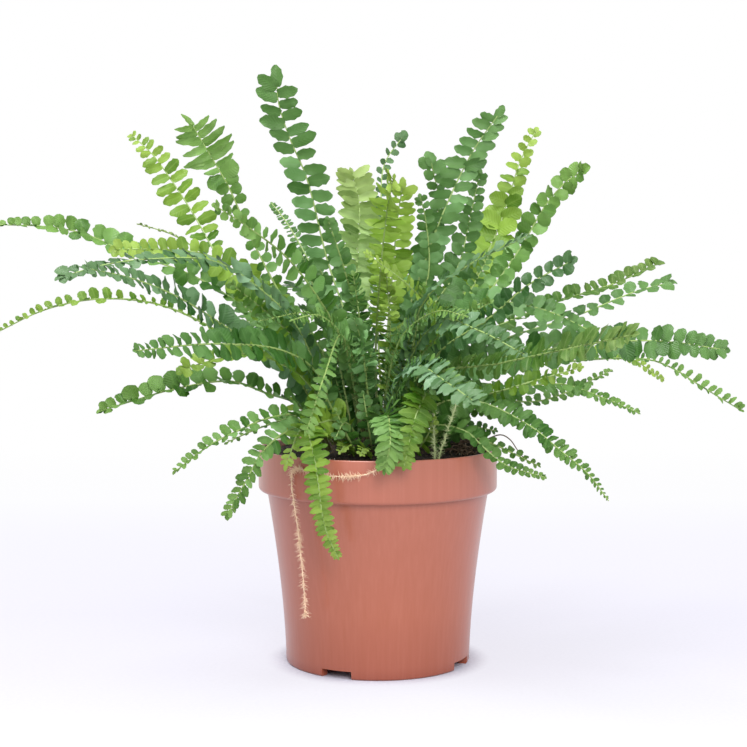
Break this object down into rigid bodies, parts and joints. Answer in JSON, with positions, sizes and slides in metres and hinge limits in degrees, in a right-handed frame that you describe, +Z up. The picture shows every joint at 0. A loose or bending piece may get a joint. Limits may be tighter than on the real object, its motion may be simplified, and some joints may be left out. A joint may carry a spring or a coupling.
{
  "type": "potted fern",
  "caption": "Button fern with arching fronds of small round leaflets, in a round tapered plastic nursery pot with a rim band, filled with peat.",
  "frame": {"origin": "middle of the whole plant's box at the level of the pot's foot, which is the pot's own axis", "axes": "+Z up along the pot, -Y to the front, where the hairy runner hangs, +X to the right, the long way of the plant"},
  "size_m": [0.3915, 0.3009, 0.3001],
  "materials": {
    "pot": "satin",
    "peat": "matte",
    "leaf_fresh": "satin",
    "leaf_young": "satin",
    "leaf_sheen": "satin",
    "leaf_deep": "satin",
    "leaf_pale": "satin",
    "crown": "matte",
    "runner": "matte",
    "stolons": "matte"
  },
  "bodies": {
    "root": {"pot": "pot", "peat": "peat", "frond_left_01": "leaf_fresh", "frond_left_02": "leaf_young", "frond_left_03": "leaf_sheen", "frond_left_04": "leaf_young", "frond_left_05": "leaf_sheen", "frond_left_06": "leaf_deep", "frond_left_07": "leaf_fresh", "frond_left_08": "leaf_young", "frond_left_09": "leaf_fresh", "frond_left_10": "leaf_fresh", "frond_top_01": "leaf_young", "frond_top_02": "leaf_fresh", "frond_top_03": "leaf_fresh", "frond_top_04": "leaf_deep", "frond_top_05": "leaf_pale", "frond_top_06": "leaf_pale", "frond_top_07": "leaf_sheen", "frond_top_08": "leaf_young", "frond_top_09": "leaf_young", "frond_top_10": "leaf_deep", "frond_top_11": "leaf_deep", "frond_top_12": "leaf_deep", "frond_top_13": "leaf_deep", "frond_top_14": "leaf_young", "frond_top_15": "leaf_fresh", "frond_top_16": "leaf_sheen", "frond_right_01": "leaf_sheen", "frond_right_02": "leaf_deep", "frond_right_03": "leaf_pale", "frond_right_04": "leaf_deep", "frond_right_05": "leaf_deep", "frond_right_06": "leaf_pale", "frond_right_07": "leaf_fresh", "frond_right_08": "leaf_young", "frond_right_09": "leaf_fresh", "frond_right_10": "leaf_fresh", "frond_right_11": "leaf_fresh", "frond_front_01": "leaf_sheen", "frond_front_02": "leaf_fresh", "frond_front_03": "leaf_young", "frond_front_04": "leaf_sheen", "frond_front_05": "leaf_young", "frond_middle_01": "leaf_fresh", "frond_middle_02": "leaf_deep", "frond_middle_03": "leaf_deep", "frond_middle_04": "leaf_fresh", "frond_back_01": "leaf_fresh", "frond_back_02": "leaf_deep", "frond_back_03": "leaf_fresh", "frond_back_04": "leaf_deep", "frond_back_05": "leaf_fresh", "frond_back_06": "leaf_young", "frond_back_07": "leaf_young", "frond_back_08": "leaf_deep", "frond_back_09": "leaf_sheen", "crown": "crown", "runner": "runner", "stolons": "stolons"}
  },
  "joints": []
}
